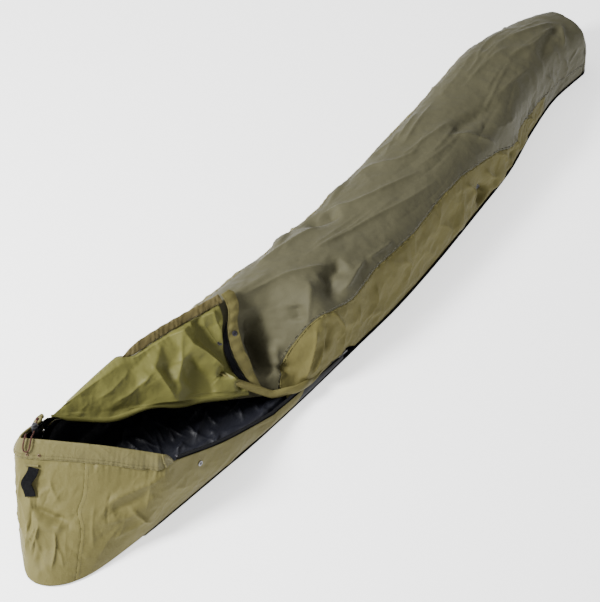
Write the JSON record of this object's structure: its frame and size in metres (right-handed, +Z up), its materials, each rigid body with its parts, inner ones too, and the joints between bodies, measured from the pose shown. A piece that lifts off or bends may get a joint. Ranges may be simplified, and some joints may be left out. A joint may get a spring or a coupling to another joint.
{
  "type": "bivy sack",
  "caption": "Hooded waterproof bivy sack lying open: tapered tube with a domed foot box, gathered hood and a side-zip entrance flap folded over to show its coated inner face.",
  "frame": {"origin": "middle of the footprint, on the ground under the groundsheet", "axes": "+X along the sack towards its foot, +Y across it away from the zip, +Z up"},
  "size_m": [2.354, 0.3878, 0.277],
  "materials": {
    "khaki_nylon": "matt plain-weave nylon, khaki",
    "grey_laminate": "soft waterproof laminate, grey-green",
    "coated_inner": "coated cloth with a dull gloss, yellow-green",
    "black_nylon": "glossy black nylon",
    "zip_black": "woven black zip tape and coil",
    "black_webbing": "ribbed black webbing",
    "brown_cord": "braided reddish-brown cord",
    "black_plastic": "moulded black plastic",
    "dark_metal": "darkened press-stud metal"
  },
  "bodies": {
    "sack": {"drawcord_knot": "brown_cord", "drawcord_tail": "brown_cord", "floor_panel": "black_nylon", "foot_near_gusset": "grey_laminate", "foot_panel": "grey_laminate", "hood_drawcord": "brown_cord", "hood_end_panel": "khaki_nylon", "hood_far_panel": "khaki_nylon", "hood_hem_casing": "khaki_nylon", "inner_lining": "black_nylon", "near_wall_panel": "khaki_nylon", "side_panel_far": "khaki_nylon", "side_panel_near": "khaki_nylon", "side_zip_coil": "zip_black", "side_zip_tape": "zip_black", "tab_eyelet_far": "brown_cord", "tab_eyelet_near": "brown_cord", "tab_slit_welt": "khaki_nylon", "top_panel": "grey_laminate", "wall_snap_cap": "black_plastic", "wall_snap_ring": "dark_metal", "wall_zip_coil": "zip_black", "wall_zip_tape": "zip_black", "zip_end_stop": "dark_metal", "zip_top_stop": "dark_metal"},
    "flap": {"entrance_flap": "coated_inner", "flap_hem_casing": "khaki_nylon", "flap_drawcord": "brown_cord", "flap_zip_tape": "zip_black", "flap_zip_coil": "zip_black", "flap_snap": "dark_metal"},
    "storm_flap": {"storm_flap": "khaki_nylon", "storm_flap_snap": "dark_metal"},
    "slider": {"zip_slider": "black_plastic", "zip_slider_bridge": "black_plastic"},
    "pull": {"zip_pull": "black_plastic"},
    "tab": {"webbing_tab": "black_webbing"},
    "cord_lock": {"cord_lock_barrel": "black_plastic", "cord_lock_spring": "dark_metal"},
    "plunger": {"cord_lock_plunger": "black_plastic"}
  },
  "joints": [
    {"name": "flap_fold", "type": "hinge", "parent": "sack", "child": "flap", "pos_m": [-0.896, 0.1293, 0.242], "axis": [0.843, -0.4587, -0.281], "range_deg": [0, 115]},
    {"name": "storm_flap_lift", "type": "hinge", "parent": "flap", "child": "storm_flap", "pos_m": [-0.43219, -0.0933, 0.11533], "axis": [-0.1255, -0.697, -0.706], "range_deg": [0, 30]},
    {"name": "zip_slide", "type": "slide", "parent": "sack", "child": "slider", "axis": [-0.9947, -0.0039, 0.1029], "range_m": [0, 0.22]},
    {"name": "pull_swing", "type": "hinge", "parent": "slider", "child": "pull", "pos_m": [-0.16403, -0.1887, 0.03424], "axis": [-0.1029, 0, -0.9947], "range_deg": [0, 170]},
    {"name": "tab_lift", "type": "hinge", "parent": "sack", "child": "tab", "pos_m": [-1.01978, 0.08014, 0.20501], "axis": [-0.5476, 0.8339, -0.069], "range_deg": [0, 80]},
    {"name": "cord_lock_slide", "type": "slide", "parent": "sack", "child": "cord_lock", "axis": [0.8387, 0.5445, 0], "range_m": [0, 0.014]},
    {"name": "cord_lock_press", "type": "slide", "parent": "cord_lock", "child": "plunger", "axis": [0, 0, -1], "range_m": [0, 0.003], "stiffness_N_per_m": 400, "springref_m": -0.002, "deforming": ["cord_lock_spring"]}
  ]
}
